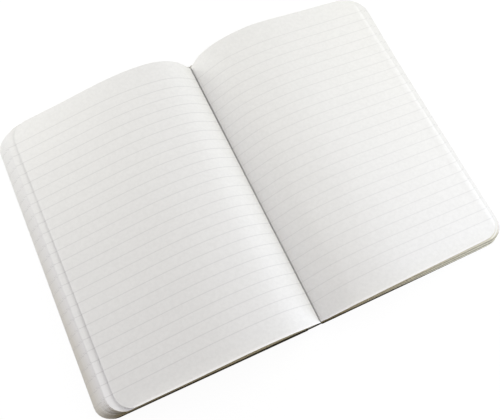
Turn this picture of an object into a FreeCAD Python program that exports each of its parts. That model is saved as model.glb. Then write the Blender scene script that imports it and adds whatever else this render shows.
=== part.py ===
import FreeCAD, Part
import os
import Sketcher

# A sewn composition notebook lying open near its middle, with its covers flat on the table.
# +X runs from the left page to the right page, +Y from the tail to the head and +Z up.
# The origin is on the table, under the middle of the spine. Sizes are in millimetres.

doc = FreeCAD.newDocument("OpenNotebook")

# Driving sizes

SIZES = [
    ("page_height", 210.0),        # tail to head, the same for leaves, covers and strip
    ("corner_radius", 12.0),       # rounded outer corners of leaves and covers
    ("cover_reach", 144.0),        # spine middle to the fore edge of each cover
    ("cover_thickness", 0.8),      # pressed card of one cover
    ("strip_thickness", 0.4),      # cloth strip round the spine
    ("strip_half_width", 5.0),     # spine middle to the line where a cover bends
    ("strip_lap", 22.0),           # cloth glued on each cover, from the bend outwards
    ("bend_gap", 0.15),            # free cloth each side of the bend
    ("keel_gap", 0.35),            # leaf folds to the bend line of a cover
    ("gutter_x", 4.6),             # the open fold lies a little right of the spine middle
    ("gutter_leaves", 2.0),        # leaves left under the open fold
    ("thread_diameter", 0.7),
    ("thread_clearance", 0.1),     # needle hole round the thread
    ("stitch_cover", 0.3),         # leaves over the inner stitches, below the open fold
    ("stitch_margin", 11.0),       # head and tail to the first needle hole
    ("back_stitches", 7),          # stitches that show on the back of the spine
    ("leaf_packets", 9),           # steps of the fanned fore edge on each side
    ("packet_root", 36.0),         # how far a lower packet is followed in under the page
    ("left_fan", 13.1),            # open page's fore edge to the cover's, on each side
    ("right_fan", 9.1),
    ("left_edge_height", 10.0),    # open page over the covers, at its fore edge
    ("right_edge_height", 7.9),
]

# The arch of each open page: distance out from the gutter, and height over the covers
ARCH_STATIONS = {
    "left": [
        ("rise", 9.0, 10.5),
        ("shoulder", 19.4, 17.3),
        ("brow", 35.7, 21.4),
        ("crest", 54.8, 22.5),
    ],
    "right": [
        ("rise", 8.7, 7.7),
        ("shoulder", 21.8, 14.6),
        ("brow", 31.7, 16.7),
        ("crest", 48.0, 18.0),
    ],
}

# The long slope beyond the crest: distance in from the page's fore edge, and height
SLOPE_STATIONS = {
    "left": ("slope", 38.8, 17.0),
    "right": ("slope", 49.8, 15.0),
}

sheet = doc.addObject("Spreadsheet::Sheet", "Sizes")


def add_size(row, alias, amount):
    sheet.set("A%d" % row, alias)
    sheet.set("B%d" % row, str(amount))
    sheet.setAlias("B%d" % row, alias)


next_row = 1
for alias, amount in SIZES:
    add_size(next_row, alias, amount)
    next_row += 1
for side in ("left", "right"):
    for station, run, height in ARCH_STATIONS[side] + [SLOPE_STATIONS[side]]:
        add_size(next_row, "%s_%s_run" % (side, station), run)
        add_size(next_row + 1, "%s_%s_height" % (side, station), height)
        next_row += 2
doc.recompute()


def size(alias):
    return float(getattr(sheet, alias))


def origin_plane(body, role):
    for feature in body.Origin.OriginFeatures:
        if feature.Role == role:
            return feature
    raise ValueError("no plane " + role)


def rectangle_sketch(body, name, near_expression, far_expression, side):
    """A rectangle from near to far on the given side of the spine, as tall as the pages."""
    sketch = body.newObject("Sketcher::SketchObject", name)
    sketch.AttachmentSupport = (origin_plane(body, "XY_Plane"), [""])
    sketch.MapMode = "FlatFace"
    near, far, half = 10.0, 100.0, 50.0  # a first guess, which the constraints replace
    corners = [(near, -half), (far, -half), (far, half), (near, half)]
    points = [FreeCAD.Vector(side * x, y, 0) for x, y in corners]
    for i in range(4):
        sketch.addGeometry(Part.LineSegment(points[i], points[(i + 1) % 4]), False)
    for i in range(4):
        sketch.addConstraint(Sketcher.Constraint("Coincident", i, 2, (i + 1) % 4, 1))
    sketch.addConstraint(Sketcher.Constraint("Horizontal", 0))
    sketch.addConstraint(Sketcher.Constraint("Horizontal", 2))
    sketch.addConstraint(Sketcher.Constraint("Vertical", 3))
    sketch.addConstraint(Sketcher.Constraint("Symmetric", 1, 1, 1, 2, -1))
    tall = sketch.addConstraint(Sketcher.Constraint("DistanceY", 1, 1, 1, 2, 2 * half))
    if side > 0:
        near_row = sketch.addConstraint(Sketcher.Constraint("DistanceX", -1, 1, 3, 1, near))
        far_row = sketch.addConstraint(Sketcher.Constraint("DistanceX", -1, 1, 1, 1, far))
    else:
        near_row = sketch.addConstraint(Sketcher.Constraint("DistanceX", 3, 1, -1, 1, near))
        far_row = sketch.addConstraint(Sketcher.Constraint("DistanceX", 1, 1, -1, 1, far))
    sketch.setExpression("Constraints[%d]" % tall, "Sizes.page_height")
    sketch.setExpression("Constraints[%d]" % near_row, near_expression)
    sketch.setExpression("Constraints[%d]" % far_row, far_expression)
    return sketch


def pad(body, name, sketch, thickness_expression):
    feature = body.newObject("PartDesign::Pad", name)
    feature.Profile = sketch
    feature.setExpression("Length", thickness_expression)
    sketch.Visibility = False
    doc.recompute()
    return feature


def round_fore_edge(body, name, base, side):
    """Rounds the two outer corners of a cover, seen from above."""
    fore_edge = side * size("cover_reach")
    hair = 0.01
    corner_edges = []
    for i, edge in enumerate(base.Shape.Edges):
        box = edge.BoundBox
        upright = box.XLength < hair and box.YLength < hair
        if upright and abs(box.XMin - fore_edge) < hair:
            corner_edges.append("Edge%d" % (i + 1))
    feature = body.newObject("PartDesign::Fillet", name)
    feature.Base = (base, corner_edges)
    feature.setExpression("Radius", "Sizes.corner_radius")
    doc.recompute()
    return feature


# Covers: flat card, rounded at the fore edge, with the lap of the cloth strip on the outside

def build_cover(label, side):
    body = doc.addObject("PartDesign::Body", label)
    body.Label = label
    inner = "Sizes.strip_half_width + Sizes.bend_gap"
    lap_sketch = rectangle_sketch(body, label + "_lap_outline", inner,
                                  "Sizes.strip_half_width + Sizes.strip_lap", side)
    pad(body, label + "_lap", lap_sketch, "Sizes.strip_thickness")
    card_sketch = rectangle_sketch(body, label + "_card_outline", inner, "Sizes.cover_reach", side)
    card_sketch.setExpression("AttachmentOffset.Base.z", "Sizes.strip_thickness")
    card = pad(body, label + "_card", card_sketch, "Sizes.cover_thickness")
    body.Tip = round_fore_edge(body, label + "_corners", card, side)
    return body


front_cover = build_cover("front_cover", -1)
back_cover = build_cover("back_cover", 1)

# Spine strip: the middle of the cloth, between the two bends, flat on the table

spine_strip = doc.addObject("Part::Box", "spine_strip")
spine_strip.Label = "spine_strip"
spine_strip.setExpression("Length", "2 * (Sizes.strip_half_width - Sizes.bend_gap)")
spine_strip.setExpression("Width", "Sizes.page_height")
spine_strip.setExpression("Height", "Sizes.strip_thickness")
spine_strip.setExpression("Placement.Base.x", "-(Sizes.strip_half_width - Sizes.bend_gap)")
spine_strip.setExpression("Placement.Base.y", "-Sizes.page_height / 2")

# Sewing thread: one running stitch through the folds of the leaves, along the spine.
# UNDERSIDE is the level of the covers' inner faces, which the leaves lie on.

UNDERSIDE = size("strip_thickness") + size("cover_thickness")


def stitch_path():
    """The thread's middle line: inner stitches and back stitches by turns."""
    first_hole = size("stitch_margin") - size("page_height") / 2
    stitch_count = 2 * int(size("back_stitches")) + 1
    step = (size("page_height") - 2 * size("stitch_margin")) / stitch_count
    thread_radius = size("thread_diameter") / 2
    back_level = size("strip_thickness") + thread_radius
    inner_level = UNDERSIDE + size("gutter_leaves") - size("stitch_cover") - thread_radius
    points = []
    for i in range(stitch_count):
        level = inner_level if i % 2 == 0 else back_level
        points.append(FreeCAD.Vector(0, first_hole + i * step, level))
        points.append(FreeCAD.Vector(0, first_hole + (i + 1) * step, level))
    return Part.makePolygon(points)


def along_stitches(diameter):
    path = stitch_path()
    ring = Part.makeCircle(diameter / 2, path.Vertexes[0].Point, FreeCAD.Vector(0, 1, 0))
    right_corners = 1
    return path.makePipeShell([Part.Wire([ring])], True, False, right_corners)


sewing_thread = doc.addObject("Part::Feature", "sewing_thread")
sewing_thread.Label = "sewing_thread"
sewing_thread.Shape = along_stitches(size("thread_diameter"))
sewing_thread.Placement = FreeCAD.Placement()

# Page block: all the leaves, arched over both covers and joined at the fold.
# Each side is a top packet under the open page and lower packets that reach further out.

SIDES = {"left": -1, "right": 1}


def over_covers(x, height):
    return FreeCAD.Vector(x, 0, UNDERSIDE + height)


def edge_point(side):
    """The open page's fore edge."""
    x = SIDES[side] * (size("cover_reach") - size(side + "_fan"))
    return over_covers(x, size(side + "_edge_height"))


def slope_point(side):
    """A point on the long slope between the crest and the fore edge."""
    x = edge_point(side).x - SIDES[side] * size(side + "_slope_run")
    return over_covers(x, size(side + "_slope_height"))


def arch_point(side, station):
    x = size("gutter_x") + SIDES[side] * size("%s_%s_run" % (side, station))
    return over_covers(x, size("%s_%s_height" % (side, station)))


def page_curve(side):
    """The open page from the gutter to its fore edge, as a smooth curve."""
    points = [over_covers(size("gutter_x"), size("gutter_leaves"))]
    for station, run, height in ARCH_STATIONS[side]:
        points.append(arch_point(side, station))
    points.append(slope_point(side))
    points.append(edge_point(side))
    curve = Part.BSplineCurve()
    curve.interpolate(points)
    return curve


def extrude_section(edges):
    """A section in the XZ plane, drawn out from tail to head."""
    height = size("page_height")
    face = Part.Face(Part.Wire(edges))
    face.translate(FreeCAD.Vector(0, -height / 2, 0))
    return face.extrude(FreeCAD.Vector(0, height, 0))


def rounded_prism(side, fore_edge):
    """The outline of one leaf seen from above: square at the fold, rounded at the fore edge."""
    radius = size("corner_radius")
    half = size("page_height") / 2
    sign = SIDES[side]
    bevel = radius * (1 - 0.5 ** 0.5)
    fold = size("gutter_x")
    inner = fore_edge - sign * radius
    tail_bend = FreeCAD.Vector(fore_edge - sign * bevel, -half + bevel, 0)
    head_bend = FreeCAD.Vector(fore_edge - sign * bevel, half - bevel, 0)
    tail_run = FreeCAD.Vector(inner, -half, 0)
    tail_rise = FreeCAD.Vector(fore_edge, -half + radius, 0)
    head_rise = FreeCAD.Vector(fore_edge, half - radius, 0)
    head_run = FreeCAD.Vector(inner, half, 0)
    head_fold = FreeCAD.Vector(fold, half, 0)
    tail_fold = FreeCAD.Vector(fold, -half, 0)
    outline = [
        Part.LineSegment(tail_fold, tail_run).toShape(),
        Part.Arc(tail_run, tail_bend, tail_rise).toShape(),
        Part.LineSegment(tail_rise, head_rise).toShape(),
        Part.Arc(head_rise, head_bend, head_run).toShape(),
        Part.LineSegment(head_run, head_fold).toShape(),
        Part.LineSegment(head_fold, tail_fold).toShape(),
    ]
    face = Part.Face(Part.Wire(outline))
    clear_of_crest = 2 * (UNDERSIDE + size(side + "_crest_height"))
    return face.extrude(FreeCAD.Vector(0, 0, clear_of_crest))


def top_packet(side):
    """Everything under the open page, out to the page's own fore edge."""
    curve = page_curve(side)
    gutter_top = curve.StartPoint
    edge_top = curve.EndPoint
    edge_foot = FreeCAD.Vector(edge_top.x, 0, UNDERSIDE)
    gutter_foot = FreeCAD.Vector(gutter_top.x, 0, UNDERSIDE)
    section = extrude_section([
        curve.toShape(),
        Part.LineSegment(edge_top, edge_foot).toShape(),
        Part.LineSegment(edge_foot, gutter_foot).toShape(),
        Part.LineSegment(gutter_foot, gutter_top).toShape(),
    ])
    return section.common(rounded_prism(side, edge_top.x))


def lower_packet(side, number, packets):
    """One packet of leaves under the open page, sticking out past the packet above it."""
    sign = SIDES[side]
    edge_top = edge_point(side)
    slope_top = slope_point(side)
    fall = (edge_top.z - slope_top.z) / (edge_top.x - slope_top.x)
    share = number / packets
    reach = sign * size("cover_reach")
    fore_edge = reach + (edge_top.x - reach) * (number - 1) / (packets - 1)
    root = edge_top.x - sign * size("packet_root")

    def packet_top(x):
        page = edge_top.z + fall * (x - edge_top.x)
        return FreeCAD.Vector(x, 0, UNDERSIDE + share * (page - UNDERSIDE))

    corners = [
        FreeCAD.Vector(root, 0, UNDERSIDE),
        packet_top(root),
        packet_top(fore_edge),
        FreeCAD.Vector(fore_edge, 0, UNDERSIDE),
        FreeCAD.Vector(root, 0, UNDERSIDE),
    ]
    section = extrude_section(Part.makePolygon(corners).Edges)
    return section.common(rounded_prism(side, fore_edge))


def keel():
    """The folds of the leaves, let down between the covers onto the strip."""
    half_width = size("strip_half_width") - size("keel_gap")
    height = size("page_height")
    foot = size("strip_thickness")
    head = UNDERSIDE + size("gutter_leaves") / 2
    corner = FreeCAD.Vector(-half_width, -height / 2, foot)
    return Part.makeBox(2 * half_width, height, head - foot, corner)


packets = int(size("leaf_packets"))
pieces = [top_packet("left"), top_packet("right"), keel()]
for side in SIDES:
    for number in range(1, packets):
        pieces.append(lower_packet(side, number, packets))
leaves = pieces[0].multiFuse(pieces[1:])
needle_holes = along_stitches(size("thread_diameter") + 2 * size("thread_clearance"))
leaves = leaves.cut(needle_holes).removeSplitter()

page_block = doc.addObject("Part::Feature", "page_block")
page_block.Label = "page_block"
page_block.Shape = leaves
page_block.Placement = FreeCAD.Placement()

doc.recompute()

# Check every piece, then write it

nodes = [page_block, sewing_thread, spine_strip, front_cover, back_cover]
for item in doc.Objects:
    if "Invalid" in item.State or "Error" in item.State:
        raise RuntimeError("%s failed: %s" % (item.Name, item.State))
for node in nodes:
    shape = node.Shape
    if shape.isNull() or not shape.isValid() or len(shape.Solids) != 1:
        raise RuntimeError("%s is not one sound solid" % node.Label)

os.makedirs("parts", exist_ok=True)
for node in nodes:
    node.Shape.exportStep("parts/%s.step" % node.Label)
    box = node.Shape.BoundBox
    print("%-14s volume %.1f mm3, x %.1f..%.1f, y %.1f..%.1f, z %.2f..%.2f" % (
        node.Label, node.Shape.Volume, box.XMin, box.XMax, box.YMin, box.YMax, box.ZMin, box.ZMax))
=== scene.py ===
import math
import random

import bpy
import numpy as np
from mathutils import Matrix, Vector


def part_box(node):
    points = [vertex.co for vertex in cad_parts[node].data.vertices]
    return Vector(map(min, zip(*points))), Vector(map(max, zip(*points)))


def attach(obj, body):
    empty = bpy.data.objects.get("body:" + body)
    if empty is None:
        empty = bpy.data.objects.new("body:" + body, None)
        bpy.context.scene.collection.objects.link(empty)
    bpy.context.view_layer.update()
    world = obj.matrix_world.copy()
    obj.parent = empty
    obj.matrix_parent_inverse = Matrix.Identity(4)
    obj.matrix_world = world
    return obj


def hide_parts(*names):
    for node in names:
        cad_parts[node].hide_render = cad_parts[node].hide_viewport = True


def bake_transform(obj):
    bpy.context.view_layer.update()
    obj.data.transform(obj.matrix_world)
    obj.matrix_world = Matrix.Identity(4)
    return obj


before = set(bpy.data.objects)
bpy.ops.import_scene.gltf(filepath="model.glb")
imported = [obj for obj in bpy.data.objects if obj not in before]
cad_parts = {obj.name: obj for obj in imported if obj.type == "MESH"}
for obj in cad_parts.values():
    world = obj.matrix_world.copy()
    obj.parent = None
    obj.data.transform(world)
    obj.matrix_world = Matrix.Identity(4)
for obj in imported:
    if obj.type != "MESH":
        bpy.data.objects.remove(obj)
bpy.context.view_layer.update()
MM = 0.001

# The leaves: 120 leaves of white writing paper, folded together as sheets, sewn through the fold
# and trimmed with rounded corners. The book is open a little off its middle, so both sides arch
# out of the fold and fan at the fore edge, and each page is ruled right across in faint grey.

HALF_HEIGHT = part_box("page_block")[1].y / MM
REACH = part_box("page_block")[1].x / MM
COVER_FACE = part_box("front_cover")[1].z / MM
CORNER_RADIUS = 12.0
FOLD_X = 4.25  # the open fold lies a little right of the spine's middle
FOLD_HEIGHT = 2.0  # over the covers
FOLD_GAP = 0.27  # fold to the first paper on each side
HEAD_OPENING = 0.2  # how much wider the fold gapes at the head, on each side
CREVICE_DEPTH = 1.5  # how far a leaf falls into the fold
LEAF_SHARE = 0.45  # thickness of a leaf as a share of its place in the stack
GROUP_SHARE = 0.9  # the leaves cling together in groups, with air between the groups
TRIM = 0.12  # how far a leaf may lie off its place in the trimmed edges
END_REACH = 30.0  # how far in from head and tail a leaf gives way for its end to lie off
HEAD_RECESS = 0.5  # the leaves below end this much short of the open page at the head
RECESS_DEPTH = 0.12  # how deep in the stack the leaves are fully short of the open page
RIPPLE = 0.12
RIM_WIDTH = 1.5  # the rim of a leaf: at the tail it turns up to the light, and a painted highlight lies on it
RIM_CORE = 0.3  # where the painted highlight is at full strength
TAIL_RIM = 0.6  # how far the rim of the open page turns up at the tail
# strength of the painted highlight on the open page's rim at the tail
TAIL_PAINTED_HIGHLIGHT = 1.0
HEAD_CUT = 0.4  # how much of the cut edges' colour, with its painted shade, shows at the head
RULINGS = 25
RULING_PITCH = 7.58
LOWEST_RULING = -91.4  # from the middle of the page's height
RULING_SCATTER = 0.8  # how far the rulings of a leaf may lie off their even drift
FINE_LEAVES = 3  # the open page and the two below it have a finer grid
FINE_GRID = (44, 27)
PLAIN_GRID = (20, 5)
SAG_RUN = (-30.0, -5.0)  # past the open page's fore edge, for the leaves below it
CURL_RUN = (-7.0, 7.0)
FAN_RUN = (-2.0, 1.0)
CORNER_RUN = (0.0, 14.0)

# In the pairs below the first number is millimetres out from the middle of the spine, but for the
# arch it is out from the fold, for the rim past the fore edge, and for reaches depth in the stack.

SIDES = {
    "left": {
        "sign": -1,  # which way the side lies from the spine
        "leaves": 66,
        "groups": 6,
        "trim_seed": 11,
        "ripple_seed": 5,
        "arch": [(9.0, 10.5), (19.4, 17.3), (35.7, 21.4), (54.8, 22.5)],
        "shoulder": [(92.1, 17.0), (129.7, 10.3)],  # where the arch comes down to the fore edge
        "crevice": 0.26,  # how soon the page is out of the fold
        "top_reach": 129.7,  # fore edge of the open page
        "reaches": [(0, 134.7), (0.02, 134.8), (0.12, 136.8), (0.35, 140.0), (0.65, 142.3), (1, 143.5)],
        "rim": [(-1.5, 0.0), (0.0, 0.15)],
        # strength of the painted highlight on the rims at the fore edge
        "rim_painted_highlight": 0.15,
        "skew": (0.55, 1.3),  # how far the stack leans to the right at the head: top, bottom
        "sag": 1.7,  # the leaves below the page dip before its fore edge
        "curl": 2.1,  # and turn up past it
        "fan": 0.75,  # how much of the fan's painted light and shade they show there
        # how far the page's ends lie off the trimmed height, less and less for the leaves below,
        # and how far those leaves end short of the page at the tail
        "head_line": [(-3.5, -4.2), (-0.7, -2.5), (4, -0.15), (12, 0.6), (26, 1.1), (40, 0.7), (64, -0.3),
                      (88, -1.0), (120, -1.0)],
        "tail_line": [(-2, 0.0), (8, -0.9), (20, -1.2), (59, -1.2), (79, -1.0), (98, -0.5), (118, 0.1)],
        "tail_recess": [(0, 0.7), (60, 0.8), (100, 1.1), (142, 1.1)],
        # painted light and shade on the cut edges along the tail and the head: below 1 is painted shade,
        # above 1 painted light
        "end_painted_light": [(0, 1.2), (30, 1.1), (60, 0.95), (90, 0.8), (130, 0.6)],
        "ruling_drift": -2.2,  # from the top leaf to the lowest
        "ruling_ink": 0.46,
    },
    "right": {
        "sign": 1,
        "leaves": 54,
        "groups": 5,
        "trim_seed": 23,
        "ripple_seed": 8,
        "arch": [(8.7, 7.7), (21.8, 14.6), (31.7, 16.7), (48.0, 18.0)],
        "shoulder": [(85.1, 15.0), (134.9, 7.9)],
        "crevice": 0.55,
        "top_reach": 138.1,
        "reaches": [(0, 138.5), (0.09, 138.8), (0.1, 140.8), (0.2, 141.2), (0.21, 142.5), (0.4, 143.4),
                    (1, 144.5)],
        "rim": [(-7.0, 0.0), (-2.6, 0.2), (-1.2, 0.15), (0.0, -0.05)],
        "rim_painted_highlight": 0.15,
        "skew": (-0.8, 2.8),
        "sag": 0.3,
        "curl": 0.4,
        "fan": 0.1,
        "head_line": [(4.8, -3.2), (7.6, -1.75), (13, 0.4), (26, 0.8), (40, 1.6), (54, 1.9), (80, 0.9),
                      (106, 0.4), (132, 0.0)],
        "tail_line": [(4.8, 0.6), (8, 0.1), (20, -0.6), (37, -0.9), (58, -0.6), (81, 0.2), (101, 0.9),
                      (118, 1.6), (127, 2.0)],
        "tail_recess": [(0, 0.1), (60, 0.0), (85, -0.5), (144, -0.9)],
        "end_painted_light": [(5, 0.7), (14, 0.75), (25, 1.15), (45, 1.3), (69, 1.5), (93, 1.7), (129, 1.85)],
        "ruling_drift": 1.5,
        "ruling_ink": 0.36,
    },
}


def ease(low, high, value):
    """From 0 at low to 1 at high, starting and ending gently."""
    t = np.clip((value - low) / (high - low), 0, 1)
    return t * t * (3 - 2 * t)


def growing_to_tail(at_head, start, end, y):
    """A share that grows to 1 towards the tail, between two heights on the page."""
    return at_head + (1 - at_head) * ease(start, end, y)


def between_pairs(pairs, place):
    return np.interp(place, *np.array(pairs).T)


def smooth_through(stations, count=600):
    """Points of the natural cubic curve through the stations, measured along its chords."""
    knots = np.array(stations, float)
    chords = np.hypot(*np.diff(knots, axis=0).T)
    along = np.concatenate([[0.0], np.cumsum(chords)])
    size = len(along)
    system = np.eye(size)
    pull = np.zeros((size, 2))
    for i in range(1, size - 1):
        before = chords[i - 1]
        after = chords[i]
        system[i, i - 1] = before
        system[i, i] = 2 * (before + after)
        system[i, i + 1] = after
        pull[i] = 6 * ((knots[i + 1] - knots[i]) / after - (knots[i] - knots[i - 1]) / before)
    bend = np.linalg.solve(system, pull)
    t = np.linspace(0, along[-1], count)
    i = np.clip(np.searchsorted(along, t, side="right") - 1, 0, size - 2)
    span = chords[i]
    ahead = ((t - along[i]) / span)[:, None]
    behind = 1 - ahead
    lift = (behind**3 - behind) * bend[i] + (ahead**3 - ahead) * bend[i + 1]
    return behind * knots[i] + ahead * knots[i + 1] + lift * (span**2)[:, None] / 6


def page_profile(side):
    """The open page from the fold to past the fore edge: places across, and heights over a cover."""
    shape = SIDES[side]
    sign = shape["sign"]
    stations = [(FOLD_X, FOLD_HEIGHT)]
    stations += [(FOLD_X + sign * run, height) for run, height in shape["arch"]]
    stations += [(sign * run, height) for run, height in shape["shoulder"]]
    curve = smooth_through(stations)
    last_step = curve[-1] - curve[-2]
    overshoot = (REACH + 10 - abs(curve[-1, 0])) / abs(last_step[0])
    curve = np.vstack([curve, curve[-1] + last_step * overshoot])
    return curve[::sign].T


def ripple(x, y, seed):
    """The slight waviness of paper that has taken up some damp, within one unit either way."""
    waves = random.Random(seed)
    total = 0 * x
    for length in (95.0, 61.0, 38.0):
        turn = waves.uniform(0, math.tau)
        phase = waves.uniform(0, math.tau)
        total = total + np.sin((x * math.cos(turn) + y * math.sin(turn)) * math.tau / length + phase)
    return total / 3


def leaf_plan(side, fore_edge, across, down):
    """Plan positions of a leaf: rows from the fold to the fore edge, each from tail to head."""
    sign = SIDES[side]["sign"]
    start = sign * FOLD_X + FOLD_GAP
    corner = fore_edge - CORNER_RADIUS
    corner_turns = np.radians(np.linspace(0, 90, 8))
    spread = np.linspace(0, 1, across) ** 1.6
    run = np.concatenate([
        start + (corner - start) * spread[:-1],
        corner + CORNER_RADIUS * np.sin(corner_turns),
    ])
    half = np.full(len(run), HALF_HEIGHT)
    half[-len(corner_turns):] -= CORNER_RADIUS * (1 - np.cos(corner_turns))
    from_end = np.array([0, 0.4, 0.9, 1.6]) / HALF_HEIGHT
    between = np.linspace(-1, 1, down)[1:-1]
    share = np.concatenate([from_end - 1, between, 1 - from_end[::-1]])
    opening = HEAD_OPENING * np.exp(start - run)[:, None] * ease(-0.2, 0.9, share)[None, :]
    x = sign * (run[:, None] + opening)
    y = half[:, None] * share[None, :]
    return x, y


def group_number(side, number):
    return number * SIDES[side]["groups"] // SIDES[side]["leaves"]


def depth_in_stack(side, number):
    """How deep a leaf lies, from 0 on top to 1 on the cover."""
    groups = SIDES[side]["groups"]
    place = number * groups / SIDES[side]["leaves"]
    group = group_number(side, number)
    return (group + (place - group) * GROUP_SHARE) / groups


def fore_reach(side, number):
    """The open page is drawn back furthest, and the leaves below it step out towards the cover."""
    if number == 0:
        return SIDES[side]["top_reach"]
    return between_pairs(SIDES[side]["reaches"], depth_in_stack(side, number))


def past_page(side, x):
    """Distance past the fore edge of the open page's arch, less than 0 on the page."""
    return np.abs(x) - SIDES[side]["shoulder"][-1][0]


def stack_height(side, number, profile, x, y, reach):
    """Height over the cover of the whole stack, as it would be with this leaf on top."""
    shape = SIDES[side]
    height = np.interp(x, *profile)
    height = height - CREVICE_DEPTH * np.exp(-np.abs(x - FOLD_X) / shape["crevice"])
    if number:
        past = past_page(side, x)
        towards_tail = growing_to_tail(0.55, 60, -90, y)
        height = height - towards_tail * shape["sag"] * ease(*SAG_RUN, past)
        height = height + towards_tail * shape["curl"] * ease(*CURL_RUN, past)
    else:
        height = height + RIPPLE * ripple(x, y, shape["ripple_seed"])
        height = height + TAIL_RIM * ease(RIM_WIDTH - HALF_HEIGHT, -HALF_HEIGHT, y)
    if number < FINE_LEAVES:
        height = height + between_pairs(shape["rim"], np.abs(x) - reach)
    return height


def trimmed(side, depth, x, y):
    """The plan of a leaf after its ends are moved to the trimmed head and tail, and the stack leans."""
    shape = SIDES[side]
    run = shape["sign"] * x
    below = min(1, depth / RECESS_DEPTH)
    towards_tail = np.clip((-y - HALF_HEIGHT + END_REACH) / END_REACH, 0, 1) ** 2
    shift = between_pairs(shape["tail_line"], run) * (1 - depth)
    y = y + towards_tail * (shift + below * between_pairs(shape["tail_recess"], run))
    towards_head = np.clip((y - HALF_HEIGHT + END_REACH) / END_REACH, 0, 1) ** 2
    shift = between_pairs(shape["head_line"], run) * (1 - depth)
    y = y + towards_head * (shift - HEAD_RECESS * below)
    lean = np.interp(depth, (0, 1), shape["skew"]) * np.clip(np.abs(x - FOLD_X) / REACH, 0, 1)
    return x + lean * y / HALF_HEIGHT, y


def painted_rim_highlight(side, x, y, reach):
    """A painted highlight on the rim of a leaf at its fore edge, and at full strength at the tail."""
    shape = SIDES[side]
    fore_rim = ease(RIM_WIDTH, RIM_CORE, reach - shape["sign"] * x) * shape["rim_painted_highlight"]
    tail_rim = TAIL_PAINTED_HIGHLIGHT * ease(RIM_WIDTH - HALF_HEIGHT, RIM_CORE - HALF_HEIGHT, y)
    return np.maximum(fore_rim, tail_rim)


def cut_ends_painted_shade(past):
    """Where the cut edges show their colour, with its painted shade and light: the tail, fading round the
    corner, and the head.
    """
    ends = 0 * past
    ends[:, 0] = 1 - 0.9 * ease(*CORNER_RUN, past[:, 0])
    ends[:, -1] = HEAD_CUT * (1 - ease(*FAN_RUN, past[:, -1]))
    return ends


def fanned(side, number, past, y):
    """How far the fanned edges of the leaves below the page take on the fan's painted light and shade,
    more towards the tail.
    """
    share = ease(*FAN_RUN, past) * SIDES[side]["fan"] * growing_to_tail(0.45, 90, -60, y)
    if number < FINE_LEAVES:
        share = share * growing_to_tail(0.3, -50, -95, y)
    return share


def leaf_faces(rows, columns, turned):
    """Quads of a closed leaf: top, underside, and the cut edges all round."""
    grid = np.arange(rows * columns).reshape(rows, columns)
    under = grid + rows * columns
    faces = []
    for i in range(rows - 1):
        for j in range(columns - 1):
            faces.append((grid[i, j], grid[i + 1, j], grid[i + 1, j + 1], grid[i, j + 1]))
            faces.append((under[i, j], under[i, j + 1], under[i + 1, j + 1], under[i + 1, j]))
    for i in range(rows - 1):
        faces.append((grid[i, 0], under[i, 0], under[i + 1, 0], grid[i + 1, 0]))
        faces.append((grid[i, -1], grid[i + 1, -1], under[i + 1, -1], under[i, -1]))
    for j in range(columns - 1):
        faces.append((grid[-1, j], under[-1, j], under[-1, j + 1], grid[-1, j + 1]))
        faces.append((grid[0, j], grid[0, j + 1], under[0, j + 1], under[0, j]))
    faces = np.array(faces)
    return faces[:, ::-1] if turned else faces


def place_in_scene(name, data, crease=None):
    """Puts a mesh, a lamp or the camera in the scene. A mesh is smooth up to the crease, in degrees."""
    if crease:
        data.shade_smooth()
        data.set_sharp_from_angle(angle=math.radians(crease))
    placed = bpy.data.objects.new(name, data)
    bpy.context.scene.collection.objects.link(placed)
    return placed


def build_leaves(side):
    """All the leaves of one side as closed shells, with what the paper's finish needs at each point."""
    shape = SIDES[side]
    profile = page_profile(side)
    trim = random.Random(shape["trim_seed"])
    leaf_height = LEAF_SHARE / shape["leaves"]
    points, faces, marks = [], [], {}
    offset = 0
    for number in range(shape["leaves"]):
        depth = depth_in_stack(side, number)
        reach = fore_reach(side, number)
        if number:
            reach += trim.uniform(-TRIM, TRIM)
        plan_x, plan_y = leaf_plan(side, reach, *(FINE_GRID if number < FINE_LEAVES else PLAIN_GRID))
        stack = stack_height(side, number, profile, plan_x, plan_y, reach)
        x, y = trimmed(side, depth, plan_x, plan_y)
        if number:
            y = y + trim.uniform(-TRIM, TRIM)
        for level in (stack * (1 - depth), stack * (1 - depth - leaf_height)):
            points.append(np.stack([x, y, COVER_FACE + level], -1).reshape(-1, 3))
        faces.append(leaf_faces(*x.shape, shape["sign"] < 0) + offset)
        offset += 2 * x.size
        scatter = min(RULING_SCATTER, 0.2 * number)
        drift = shape["ruling_drift"] * depth + trim.uniform(-scatter, scatter)
        past = past_page(side, plan_x)
        painted_rim_shows = number < FINE_LEAVES or fore_reach(side, number + 1) - reach > 1
        leaf_marks = {
            "ruling_shift": drift * MM,
            "ruling_ink": shape["ruling_ink"],
            "leaf_tone": 0.5 * (group_number(side, number) % 2) + trim.uniform(0, 0.5),
            # painted light and shade: on the cut ends, on the fanned fore edges (darker deeper in the
            # stack and towards the tail), and a painted highlight on the rims
            "end_painted_light": between_pairs(shape["end_painted_light"], np.abs(x)) * (0.95 + 0.2 * depth),
            "cut_end": cut_ends_painted_shade(past) if number else 0,
            "fan": fanned(side, number, past, y) if number else 0,
            "fan_painted_shade_share": min(1, 2 * depth) * growing_to_tail(0.1, 110, -90, y),
            "rim_painted_highlight": painted_rim_highlight(side, plan_x, plan_y, reach) if painted_rim_shows else 0,
        }
        for name, mark in leaf_marks.items():
            marks.setdefault(name, []).extend([np.broadcast_to(mark, x.shape).ravel()] * 2)
    mesh = bpy.data.meshes.new(side + "_leaves")
    mesh.from_pydata((np.concatenate(points) * MM).tolist(), [], np.concatenate(faces).tolist())
    for name, grids in marks.items():
        per_point = np.concatenate(grids).astype(np.float32)
        mesh.attributes.new(name, "FLOAT", "POINT").data.foreach_set("value", per_point)
    return place_in_scene(side + "_leaves", mesh, crease=50)


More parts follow.
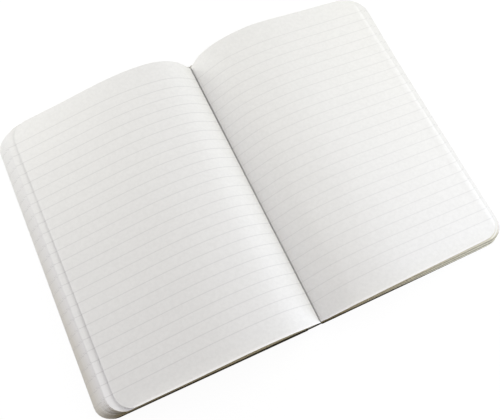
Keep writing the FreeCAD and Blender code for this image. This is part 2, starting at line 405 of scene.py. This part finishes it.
def new_material(name):
    """An empty material with one Principled shader on its surface."""
    material = bpy.data.materials.new(name)
    material.use_nodes = True
    nodes = material.node_tree.nodes
    nodes.clear()
    shader = nodes.new("ShaderNodeBsdfPrincipled")
    output = nodes.new("ShaderNodeOutputMaterial")
    material.node_tree.links.new(shader.outputs["BSDF"], output.inputs["Surface"])
    return material, shader


def feed(material, socket, source):
    """Sets a socket to a plain number or colour, or links another node's output to it."""
    if isinstance(source, bpy.types.NodeSocket):
        material.node_tree.links.new(source, socket)
    else:
        socket.default_value = source


def math_node(material, operation, *sources):
    node = material.node_tree.nodes.new("ShaderNodeMath")
    node.operation = operation
    for socket, source in zip(node.inputs, sources):
        feed(material, socket, source)
    return node.outputs["Value"]


def ranged(material, source, from_low, from_high, to_low, to_high):
    """Carries a value over from one range to another, with soft ends."""
    node = material.node_tree.nodes.new("ShaderNodeMapRange")
    node.interpolation_type = "SMOOTHSTEP"
    for name, value in (("Value", source), ("From Min", from_low), ("From Max", from_high),
                        ("To Min", to_low), ("To Max", to_high)):
        feed(material, node.inputs[name], value)
    return node.outputs["Result"]


def mixed(material, factor, first, second, blend_type="MIX"):
    node = material.node_tree.nodes.new("ShaderNodeMix")
    node.data_type = "RGBA"
    node.blend_type = blend_type
    feed(material, node.inputs["Factor"], factor)
    feed(material, node.inputs["A"], first)
    feed(material, node.inputs["B"], second)
    return node.outputs["Result"]


def object_place(material):
    return material.node_tree.nodes.new("ShaderNodeTexCoord").outputs["Object"]


def noise(material, place, grain, detail=3.0, roughness=0.5):
    """Noise with features about as large as grain, in metres."""
    node = material.node_tree.nodes.new("ShaderNodeTexNoise")
    feed(material, node.inputs["Vector"], place)
    node.inputs["Scale"].default_value = 1 / grain
    node.inputs["Detail"].default_value = detail
    node.inputs["Roughness"].default_value = roughness
    return node.outputs["Fac"]


def attribute(material, name):
    """The value that the mesh holds under this name at the point that is shaded."""
    node = material.node_tree.nodes.new("ShaderNodeAttribute")
    node.attribute_name = name
    return node.outputs["Fac"]


def bumped(material, shader, height, depth, strength=1.0):
    node = material.node_tree.nodes.new("ShaderNodeBump")
    node.inputs["Distance"].default_value = depth
    node.inputs["Strength"].default_value = strength
    feed(material, node.inputs["Height"], height)
    feed(material, shader.inputs["Normal"], node.outputs["Normal"])


def ruling_line(material, place, edge):
    """How much of a ruling's ink shows: a little uneven along the line, and none on a cut edge."""
    ruling_width = 0.55 * MM
    split = material.node_tree.nodes.new("ShaderNodeSeparateXYZ")
    feed(material, split.inputs[0], place)
    height = math_node(material, "SUBTRACT", split.outputs["Y"], attribute(material, "ruling_shift"))
    height = math_node(material, "SUBTRACT", height, LOWEST_RULING * MM)
    row = math_node(material, "DIVIDE", height, RULING_PITCH * MM)
    nearest = math_node(material, "ROUND", row)
    away = math_node(material, "ABSOLUTE", math_node(material, "SUBTRACT", row, nearest))
    away = math_node(material, "MULTIPLY", away, RULING_PITCH * MM)
    line = ranged(material, away, ruling_width * 0.3, ruling_width * 0.7, 1.0, 0.0)
    first = math_node(material, "GREATER_THAN", nearest, -0.5)
    last = math_node(material, "LESS_THAN", nearest, RULINGS - 0.5)
    line = math_node(material, "MULTIPLY", line, math_node(material, "MULTIPLY", first, last))
    line = math_node(material, "MULTIPLY", line, math_node(material, "SUBTRACT", 1.0, edge))
    ink = ranged(material, noise(material, place, 0.6 * MM, 2.0), 0.3, 0.7, 0.75, 1.0)
    ink = math_node(material, "MULTIPLY", ink, attribute(material, "ruling_ink"))
    return math_node(material, "MULTIPLY", line, ink)


def cut_paper(material):
    """The cut edges of the leaves with painted shade and light: dark tan where shade is painted, paler
    and lighter where light is painted, each leaf in a tone of its own.
    """
    cut_tan_painted_shade = (0.46, 0.36, 0.15, 1)
    cut_pale_painted_light = (0.445, 0.44, 0.36, 1)
    darkest_leaf = 0.46
    end_painted_light = attribute(material, "end_painted_light")
    leaf = ranged(material, attribute(material, "leaf_tone"), 0.0, 1.0, 1.0, darkest_leaf)
    cut = mixed(material, ranged(material, end_painted_light, 0.5, 2.2, 0.0, 1.0), cut_tan_painted_shade, cut_pale_painted_light)
    return mixed(material, 1.0, cut, math_node(material, "MULTIPLY", leaf, end_painted_light), "MULTIPLY")


def ruled_paper():
    """White, faintly cloudy paper with its rulings, with painted shade and light on its cut edges and
    fanned fore edges, and a painted highlight on the rims of the leaves.
    """
    material, shader = new_material("ruled_writing_paper")
    sheet_white = (0.869, 0.869, 0.859, 1)
    painted_light_white = (0.95, 0.95, 0.96, 1)
    fan_painted_shade_colour = (0.8, 0.77, 0.7, 1)
    ruling_grey = (0.6, 0.6, 0.6, 1)
    place = object_place(material)
    edge = attribute(material, "cut_end")
    cloud = ranged(material, noise(material, place, 2.2 * MM, 4.0, 0.6), 0.3, 0.7, 0.955, 1.0)
    sheet = mixed(material, 1.0, sheet_white, cloud, "MULTIPLY")
    # the fanned fore edges: painted light, and painted shade deeper in the stack and towards the tail
    fan = mixed(material, attribute(material, "fan_painted_shade_share"), painted_light_white, fan_painted_shade_colour)
    surface = mixed(material, attribute(material, "fan"), sheet, fan)
    # a painted highlight on the rims of the leaves
    surface = mixed(material, attribute(material, "rim_painted_highlight"), surface, painted_light_white)
    # the cut edges, with their painted shade and light
    surface = mixed(material, edge, surface, cut_paper(material))
    surface = mixed(material, ruling_line(material, place, edge), surface, ruling_grey)
    feed(material, shader.inputs["Base Color"], surface)
    fibre = noise(material, place, 0.18 * MM, 3.0, 0.6)
    feed(material, shader.inputs["Roughness"], ranged(material, fibre, 0.3, 0.7, 0.8, 0.92))
    shader.inputs["Specular IOR Level"].default_value = 0.3
    bumped(material, shader, fibre, 0.012 * MM, 0.6)
    return material


paper = ruled_paper()
for side in SIDES:
    leaves = build_leaves(side)
    leaves.data.materials.append(paper)
    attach(leaves, "pages")
    if side == "left":
        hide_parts("page_block")

# The folds of the leaves: where the sheets turn from the left side to the right side, one inside
# the other, they sink between the covers onto the cloth. Paper, creased and sewn, never glued flat.

FOLD_NEST = 8  # sheets that are shown, for all the sheets of the book
FOLD_THICKNESS = 0.085
FOLD_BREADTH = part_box("spine_strip")[1].x / MM - 0.25  # clear of the edges of the spine
FOLD_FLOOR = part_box("spine_strip")[1].z / MM + 0.04  # just over the cloth
FOLD_BRIM = COVER_FACE + 0.35  # in among the leaves
FOLD_TAIL = -HALF_HEIGHT + 0.5
FOLD_HEAD = HALF_HEIGHT - 2
FOLD_STAGGER = 0.1
# painted shade on the folds' cut ends, as on the leaves' ends
FOLD_END_PAINTED_SHADE = 0.7


def nested_folds():
    """Trough-shaped sheets, one in the other, each a closed band from tail to head."""
    stations = np.linspace(-1, 1, 15)
    points, faces = [], []
    for number in range(FOLD_NEST):
        inside = number / FOLD_NEST
        low = FOLD_FLOOR + (FOLD_BRIM - FOLD_FLOOR) * 0.8 * inside
        x = FOLD_BREADTH * (1 - 0.6 * inside) * stations
        z = low + (FOLD_BRIM - low) * np.abs(stations) ** 4
        section = list(zip(x, z + FOLD_THICKNESS)) + list(zip(x[::-1], z[::-1]))
        size = len(section)
        base = len(points)
        tail = FOLD_TAIL + FOLD_STAGGER * (number % 3)
        head = FOLD_HEAD - FOLD_STAGGER * (number % 2)
        for y in (tail, head):
            points += [(px, y, pz) for px, pz in section]
        for i in range(size):
            j = (i + 1) % size
            faces.append((base + i, base + j, base + size + j, base + size + i))
        for i in range(len(x) - 1):
            tail_quad = (base + i, base + size - 1 - i, base + size - 2 - i, base + i + 1)
            faces.append(tail_quad)
            faces.append(tuple(size + corner for corner in tail_quad[::-1]))
    mesh = bpy.data.meshes.new("leaf_folds")
    mesh.from_pydata([tuple(v * MM for v in p) for p in points], [], faces)
    cut_faces = [1.0 if abs(face.normal.y) > 0.9 else 0.0 for face in mesh.polygons]
    mesh.attributes.new("cut_end", "FLOAT", "FACE").data.foreach_set("value", cut_faces)
    mesh.attributes.new("end_painted_light", "FLOAT", "POINT").data.foreach_set("value", [FOLD_END_PAINTED_SHADE] * len(points))
    return mesh


folds = place_in_scene("leaf_folds", nested_folds())
folds.data.materials.append(paper)
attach(folds, "pages")

# The sewing thread: waxed cotton of three plies twisted together, run through the folds in one
# long running stitch. Its solid has the right form, so it only gets the look of twisted cotton.


def waxed_thread():
    material, shader = new_material("waxed_cotton_thread")
    ply_pitch = 0.9 * MM
    between_plies = (0.52, 0.49, 0.42, 1)
    waxed_cotton = (0.82, 0.79, 0.72, 1)
    place = object_place(material)
    wave = material.node_tree.nodes.new("ShaderNodeTexWave")
    wave.bands_direction = "DIAGONAL"
    wave.inputs["Scale"].default_value = 0.05 / ply_pitch
    wave.inputs["Distortion"].default_value = 0.4
    feed(material, wave.inputs["Vector"], place)
    twist = wave.outputs["Fac"]
    feed(material, shader.inputs["Base Color"], mixed(material, twist, between_plies, waxed_cotton))
    fuzz = noise(material, place, 0.12 * MM, 2.0)
    feed(material, shader.inputs["Roughness"], ranged(material, fuzz, 0.3, 0.7, 0.5, 0.7))
    bumped(material, shader, twist, 0.05 * MM, 0.8)
    return material


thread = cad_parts["sewing_thread"]
thread.data.materials.clear()
thread.data.materials.append(waxed_thread())

# The covers: pressed card in dark olive brown, cut with the leaves, with the corners rounded in
# the same cut. The inside is lined with plain pale paper, and the pages lie on the lining.

CARD_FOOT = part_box("spine_strip")[1].z / MM
CARD_TOP = COVER_FACE - 0.02
CARD_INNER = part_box("back_cover")[0].x / MM
CARD_BEVEL = 0.1
CARD_RECESS = 1.0  # short of the page block at the head and the fore edge
CARD_TAIL = {"left": (0.58, -0.65), "right": (0.65, 0.75)}  # past it at the tail: spine, fore edge
LINING_INSET = 1.6


def cover_outline(side):
    """The cover seen from above, from its bend round the fore edge and back."""
    shape = SIDES[side]
    spine_tail, fore_tail = CARD_TAIL[side]
    turns = np.radians(np.linspace(0, 90, 13))
    x = [CARD_INNER]
    y = [-HALF_HEIGHT - spine_tail]
    corners = (
        (-1, HALF_HEIGHT + fore_tail, turns),
        (1, HALF_HEIGHT - CARD_RECESS, turns[::-1]),
    )
    for end, half, around in corners:
        x += list(shape["reaches"][-1][1] - CARD_RECESS - CORNER_RADIUS + CORNER_RADIUS * np.sin(around))
        y += list(end * (half - CORNER_RADIUS + CORNER_RADIUS * np.cos(around)))
    x.append(CARD_INNER)
    y.append(HALF_HEIGHT - CARD_RECESS)
    x = shape["sign"] * np.array(x)
    y = np.array(y)
    lean = shape["skew"][1] * np.clip(np.abs(x) / REACH, 0, 1) * y / HALF_HEIGHT
    lean[0] = lean[-1] = 0
    return np.stack([x + lean, y], -1)


def unit_rows(vectors):
    return vectors / np.linalg.norm(vectors, axis=1)[:, None]


def build_cover(side):
    """A card with rounded edges all round and the lining set in from them on its inside."""
    outline = cover_outline(side)[::SIDES[side]["sign"]]
    size = len(outline)
    ahead = unit_rows(np.roll(outline, -1, axis=0) - outline)
    behind = unit_rows(outline - np.roll(outline, 1, axis=0))
    along = unit_rows(ahead + behind)
    inward = np.stack([-along[:, 1], along[:, 0]], -1)
    rings = [
        (CARD_FOOT, CARD_BEVEL),
        (CARD_FOOT + CARD_BEVEL, 0),
        (CARD_TOP - CARD_BEVEL, 0),
        (CARD_TOP, CARD_BEVEL),
        (CARD_TOP, LINING_INSET),
    ]
    points = []
    for level, inset in rings:
        ring = outline + inward * inset
        points += [(px, py, level) for px, py in ring]
    last = len(points) - size
    faces = [tuple(range(size))[::-1], tuple(range(last, last + size))]
    for row in range(0, last, size):
        for i in range(size):
            j = (i + 1) % size
            faces.append((row + i, row + j, row + size + j, row + size + i))
    mesh = bpy.data.meshes.new(side + "_card")
    mesh.from_pydata([tuple(v * MM for v in p) for p in points], [], faces)
    lined = mesh.attributes.new("lined", "FLOAT", "FACE")
    lined.data.foreach_set("value", [0.0, 1.0] + [0.0] * last)
    return place_in_scene(side + "_card", mesh, crease=35)


def pressed_card():
    material, shader = new_material("pressed_card")
    olive_dark = (0.03, 0.024, 0.008, 1)
    olive_brown = (0.048, 0.039, 0.015, 1)
    pale_fleck = (0.085, 0.07, 0.042, 1)
    lining_shade = (0.7, 0.68, 0.62, 1)
    lining_pale = (0.76, 0.745, 0.69, 1)
    place = object_place(material)
    blotch = noise(material, place, 9 * MM, 4.0, 0.6)
    fleck = noise(material, place, 0.9 * MM, 3.0, 0.65)
    board = mixed(material, ranged(material, blotch, 0.3, 0.7, 0.0, 1.0), olive_dark, olive_brown)
    board = mixed(material, ranged(material, fleck, 0.56, 0.68, 0.0, 0.5), board, pale_fleck)
    lining = mixed(material, ranged(material, fleck, 0.3, 0.7, 0.0, 1.0), lining_shade, lining_pale)
    surface = mixed(material, attribute(material, "lined"), board, lining)
    feed(material, shader.inputs["Base Color"], surface)
    feed(material, shader.inputs["Roughness"], ranged(material, fleck, 0.3, 0.7, 0.55, 0.72))
    shader.inputs["Specular IOR Level"].default_value = 0.3
    pressed = noise(material, place, 0.45 * MM, 2.0, 0.5)
    bumped(material, shader, pressed, 0.03 * MM, 0.7)
    return material


card_finish = pressed_card()
for side, node in (("left", "front_cover"), ("right", "back_cover")):
    card = build_cover(side)
    card.data.materials.append(card_finish)
    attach(card, node)
    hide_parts(node)

# The spine cloth: a strip of black book cloth glued round the spine and onto both covers. It is
# made in two halves, one on each side, with close rows at the edge of the spine.

BEND_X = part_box("back_cover")[0].x / MM - 0.15
LAP_REACH = 27.0
CLOTH_THICKNESS = CARD_FOOT - 0.02
FREE_CLOTH = 1.6  # what bends, on each side of the bend
CLOTH_TAIL = (0.25, 0.1)  # past the leaves at the tail, at the spine and at the lap's end
CLOTH_RECESS = 0.8  # close rows, on each side of the spine's edge
CLOTH_FRAY = 0.12
FRAY_SEEDS = {"left": 7, "right": 9}
LAP_END_THINNED = 0.25  # the cut end is rubbed down onto the card
THREAD_PITCH = 0.42


def build_cloth(side):
    """One half of the strip, from the middle of the spine to the frayed end of its lap."""
    sign = SIDES[side]["sign"]
    bend_run = np.linspace(BEND_X - 2 * FREE_CLOTH, BEND_X + 2 * FREE_CLOTH, 25)
    lap_run = np.linspace(BEND_X + 2 * FREE_CLOTH, LAP_REACH, 13)[1:]
    across = np.concatenate([[0.0], bend_run, lap_run])
    down = np.linspace(-HALF_HEIGHT, HALF_HEIGHT - CLOTH_RECESS, 61)
    fray = random.Random(FRAY_SEEDS[side])
    x = np.repeat(across[:, None], len(down), 1)
    x[-1] += [fray.uniform(-CLOTH_FRAY, CLOTH_FRAY) for _ in down]
    y = np.repeat(down[None, :], len(across), 0)
    y[:, 0] -= np.interp(across, (0, LAP_REACH), CLOTH_TAIL)
    high = np.full_like(x, CLOTH_THICKNESS)
    low = np.zeros_like(x)
    low[-1] += LAP_END_THINNED
    points = [np.stack([sign * x, y, level], -1).reshape(-1, 3) for level in (high, low)]
    faces = leaf_faces(len(across), len(down), sign < 0)
    mesh = bpy.data.meshes.new(side + "_spine_cloth")
    mesh.from_pydata((np.concatenate(points) * MM).tolist(), [], faces.tolist())
    return place_in_scene(side + "_spine_cloth", mesh, crease=50)


def weave_band(material, coordinate):
    """Rounded threads side by side along one direction, 0 between threads and 1 on their backs."""
    turn = math_node(material, "MULTIPLY", coordinate, math.pi / (THREAD_PITCH * MM))
    return math_node(material, "ABSOLUTE", math_node(material, "SINE", turn))


def book_cloth():
    material, shader = new_material("black_book_cloth")
    between_threads = (0.012, 0.011, 0.007, 1)
    thread_back = (0.05, 0.046, 0.03, 1)
    slub_pale = (0.09, 0.085, 0.065, 1)
    place = object_place(material)
    split = material.node_tree.nodes.new("ShaderNodeSeparateXYZ")
    feed(material, split.inputs[0], place)
    warp = weave_band(material, split.outputs["X"])
    weft = weave_band(material, split.outputs["Y"])
    checker = material.node_tree.nodes.new("ShaderNodeTexChecker")
    feed(material, checker.inputs["Vector"], place)
    checker.inputs["Scale"].default_value = 1 / (THREAD_PITCH * MM)
    warp_over = checker.outputs["Fac"]
    weft_over = math_node(material, "SUBTRACT", 1.0, warp_over)
    warp = math_node(material, "MULTIPLY", warp, warp_over)
    weft = math_node(material, "MULTIPLY", weft, weft_over)
    weave = math_node(material, "MAXIMUM", warp, weft)
    slub = ranged(material, noise(material, place, 3 * MM, 3.0), 0.35, 0.7, 0.0, 0.25)
    woven = mixed(material, weave, between_threads, thread_back)
    feed(material, shader.inputs["Base Color"], mixed(material, slub, woven, slub_pale))
    feed(material, shader.inputs["Roughness"], ranged(material, weave, 0.0, 1.0, 0.85, 0.62))
    shader.inputs["Specular IOR Level"].default_value = 0.3
    shader.inputs["Sheen Weight"].default_value = 0.1
    shader.inputs["Sheen Roughness"].default_value = 0.5
    bumped(material, shader, weave, 0.08 * MM, 0.9)
    return material


cloth_finish = book_cloth()
for side, cover in (("left", "front_cover"), ("right", "back_cover")):
    cloth = build_cloth(side)
    cloth.data.materials.append(cloth_finish)
    if side == "left":
        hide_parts("spine_strip")
    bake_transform(cloth)

# The room: a plain pale table, a pale room all round and three soft lamps, each of a faint tint.
# Two stand low, right of the tail and left of the head, and one stands higher on the right. The
# table shows white to the camera, apart from the book's shadow.

TABLE_LEVEL = -0.05
TABLE_HALF = 4000
LAMP_WIDTH = 0.33  # metres


def white_table():
    table_mesh = bpy.data.meshes.new("table_top")
    ends = ((-1, -1), (1, -1), (1, 1), (-1, 1))
    corners = [(x * TABLE_HALF * MM, y * TABLE_HALF * MM, TABLE_LEVEL * MM) for x, y in ends]
    table_mesh.from_pydata(corners, [], [(0, 1, 2, 3)])
    table = place_in_scene("table_top", table_mesh)
    material = bpy.data.materials.new("white_table")
    material.use_nodes = True
    nodes = material.node_tree.nodes
    nodes.clear()
    plain = nodes.new("ShaderNodeBsdfDiffuse")
    plain.inputs["Color"].default_value = (0.86, 0.86, 0.86, 1)
    lit_white = nodes.new("ShaderNodeBsdfDiffuse")
    lit_white.inputs["Color"].default_value = (1, 1, 1, 1)
    glow = nodes.new("ShaderNodeEmission")
    glow.inputs["Strength"].default_value = 1.03
    shown = nodes.new("ShaderNodeMixShader")
    shown.inputs["Fac"].default_value = 0.9
    choice = nodes.new("ShaderNodeMixShader")
    output = nodes.new("ShaderNodeOutputMaterial")
    rays = nodes.new("ShaderNodeLightPath").outputs
    seen = math_node(material, "MAXIMUM", rays["Is Camera Ray"], rays["Is Glossy Ray"])
    seen = math_node(material, "MAXIMUM", seen, rays["Is Transmission Ray"])
    feed(material, shown.inputs[1], lit_white.outputs["BSDF"])
    feed(material, shown.inputs[2], glow.outputs["Emission"])
    feed(material, choice.inputs["Fac"], seen)
    feed(material, choice.inputs[1], plain.outputs["BSDF"])
    feed(material, choice.inputs[2], shown.outputs["Shader"])
    feed(material, output.inputs["Surface"], choice.outputs["Shader"])
    table_mesh.materials.append(material)


def pale_room():
    world = bpy.data.worlds.new("pale_room")
    bpy.context.scene.world = world
    world.use_nodes = True
    nodes = world.node_tree.nodes
    nodes.clear()
    light_path = nodes.new("ShaderNodeLightPath")
    fill = nodes.new("ShaderNodeBackground")
    fill.inputs["Color"].default_value = (1.0, 0.965, 0.98, 1)
    fill.inputs["Strength"].default_value = 0.583
    white = nodes.new("ShaderNodeBackground")
    white.inputs["Color"].default_value = (1, 1, 1, 1)
    white.inputs["Strength"].default_value = 1.0
    choice = nodes.new("ShaderNodeMixShader")
    output = nodes.new("ShaderNodeOutputWorld")
    feed(world, choice.inputs["Fac"], light_path.outputs["Is Camera Ray"])
    feed(world, choice.inputs[1], fill.outputs["Background"])
    feed(world, choice.inputs[2], white.outputs["Background"])
    feed(world, output.inputs["Surface"], choice.outputs["Shader"])


def soft_lamp(name, turn, rise, distance, power, tint):
    """A round lamp that looks at the book, by its turn and rise in degrees and distance in metres."""
    level = distance * math.cos(math.radians(rise))
    place = (
        level * math.cos(math.radians(turn)),
        level * math.sin(math.radians(turn)),
        distance * math.sin(math.radians(rise)),
    )
    lamp_data = bpy.data.lights.new(name, "AREA")
    lamp_data.shape = "DISK"
    lamp_data.size = LAMP_WIDTH
    lamp_data.energy = power
    lamp_data.color = tint
    lamp = place_in_scene(name, lamp_data)
    lamp.visible_camera = False
    lamp.location = place
    lamp.rotation_euler = (-Vector(place)).to_track_quat("-Z", "Y").to_euler()


white_table()
pale_room()
soft_lamp("tail_side_lamp", -35, 15, 0.6, 1.63, (0.816, 0.863, 1.0))
soft_lamp("head_side_lamp", 130, 15, 0.5, 1.27, (0.976, 1.0, 0.936))
soft_lamp("window_lamp", 15, 35, 0.6, 1.0, (0.977, 1.0, 0.836))

# The camera looks down on the left page from near its tail, as the photographer did, with the
# book turned in the frame.

CAMERA_PLACE = Vector((-84.43, -167.1, 446.08)) * MM
CAMERA_AIM = Vector((-5.48, -19.68, 12.0)) * MM
CAMERA_ROLL = math.radians(-26.795)

camera_data = bpy.data.cameras.new("camera")
camera_data.lens = 50.832
camera_data.sensor_width = 36.0
camera = place_in_scene("camera", camera_data)
backward = (CAMERA_PLACE - CAMERA_AIM).normalized()
rightward = Vector((0, 1, 0)).cross(backward).normalized()
upward = backward.cross(rightward)
looking = Matrix((rightward, upward, backward)).transposed().to_4x4()
camera.matrix_world = Matrix.Translation(CAMERA_PLACE) @ looking @ Matrix.Rotation(CAMERA_ROLL, 4, "Z")
bpy.context.scene.camera = camera
bpy.context.scene.view_settings.view_transform = "Standard"

bpy.context.view_layer.update()
